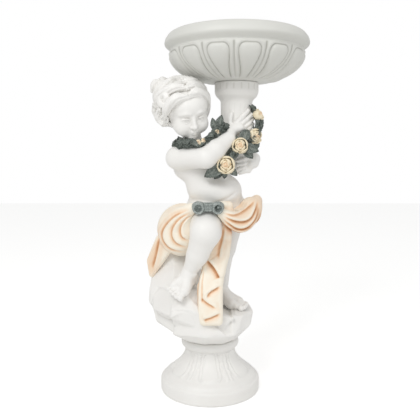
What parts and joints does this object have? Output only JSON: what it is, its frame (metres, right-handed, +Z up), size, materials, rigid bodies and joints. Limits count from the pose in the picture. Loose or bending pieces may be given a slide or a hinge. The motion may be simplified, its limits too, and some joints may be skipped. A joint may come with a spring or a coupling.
{
  "type": "garden statue planter",
  "caption": "Cherub garden statue holding a column that carries a shallow gadrooned planter bowl, on rock over a turned foot.",
  "frame": {"origin": "centre of the foot's flat underside", "axes": "+Z up, -Y the side the cherub's face looks to, +X the side of the column"},
  "size_m": [0.4539, 0.3998, 1.0016],
  "materials": {
    "foot_white": "white paint on cast resin, slightly satin",
    "casting_white": "white paint on cast resin, slightly satin",
    "bowl_white": "white paint on cast resin, slightly satin",
    "drapery_peach": "cream paint with an orange wash in the folds",
    "garland_green": "dark grey-green paint with a worn pale edge",
    "rose_cream": "cream and peach paint",
    "clasp_grey": "speckled grey-green metallic paint"
  },
  "bodies": {
    "root": {"foot": "foot_white", "cherub": "casting_white", "bowl": "bowl_white"}
  },
  "joints": []
}
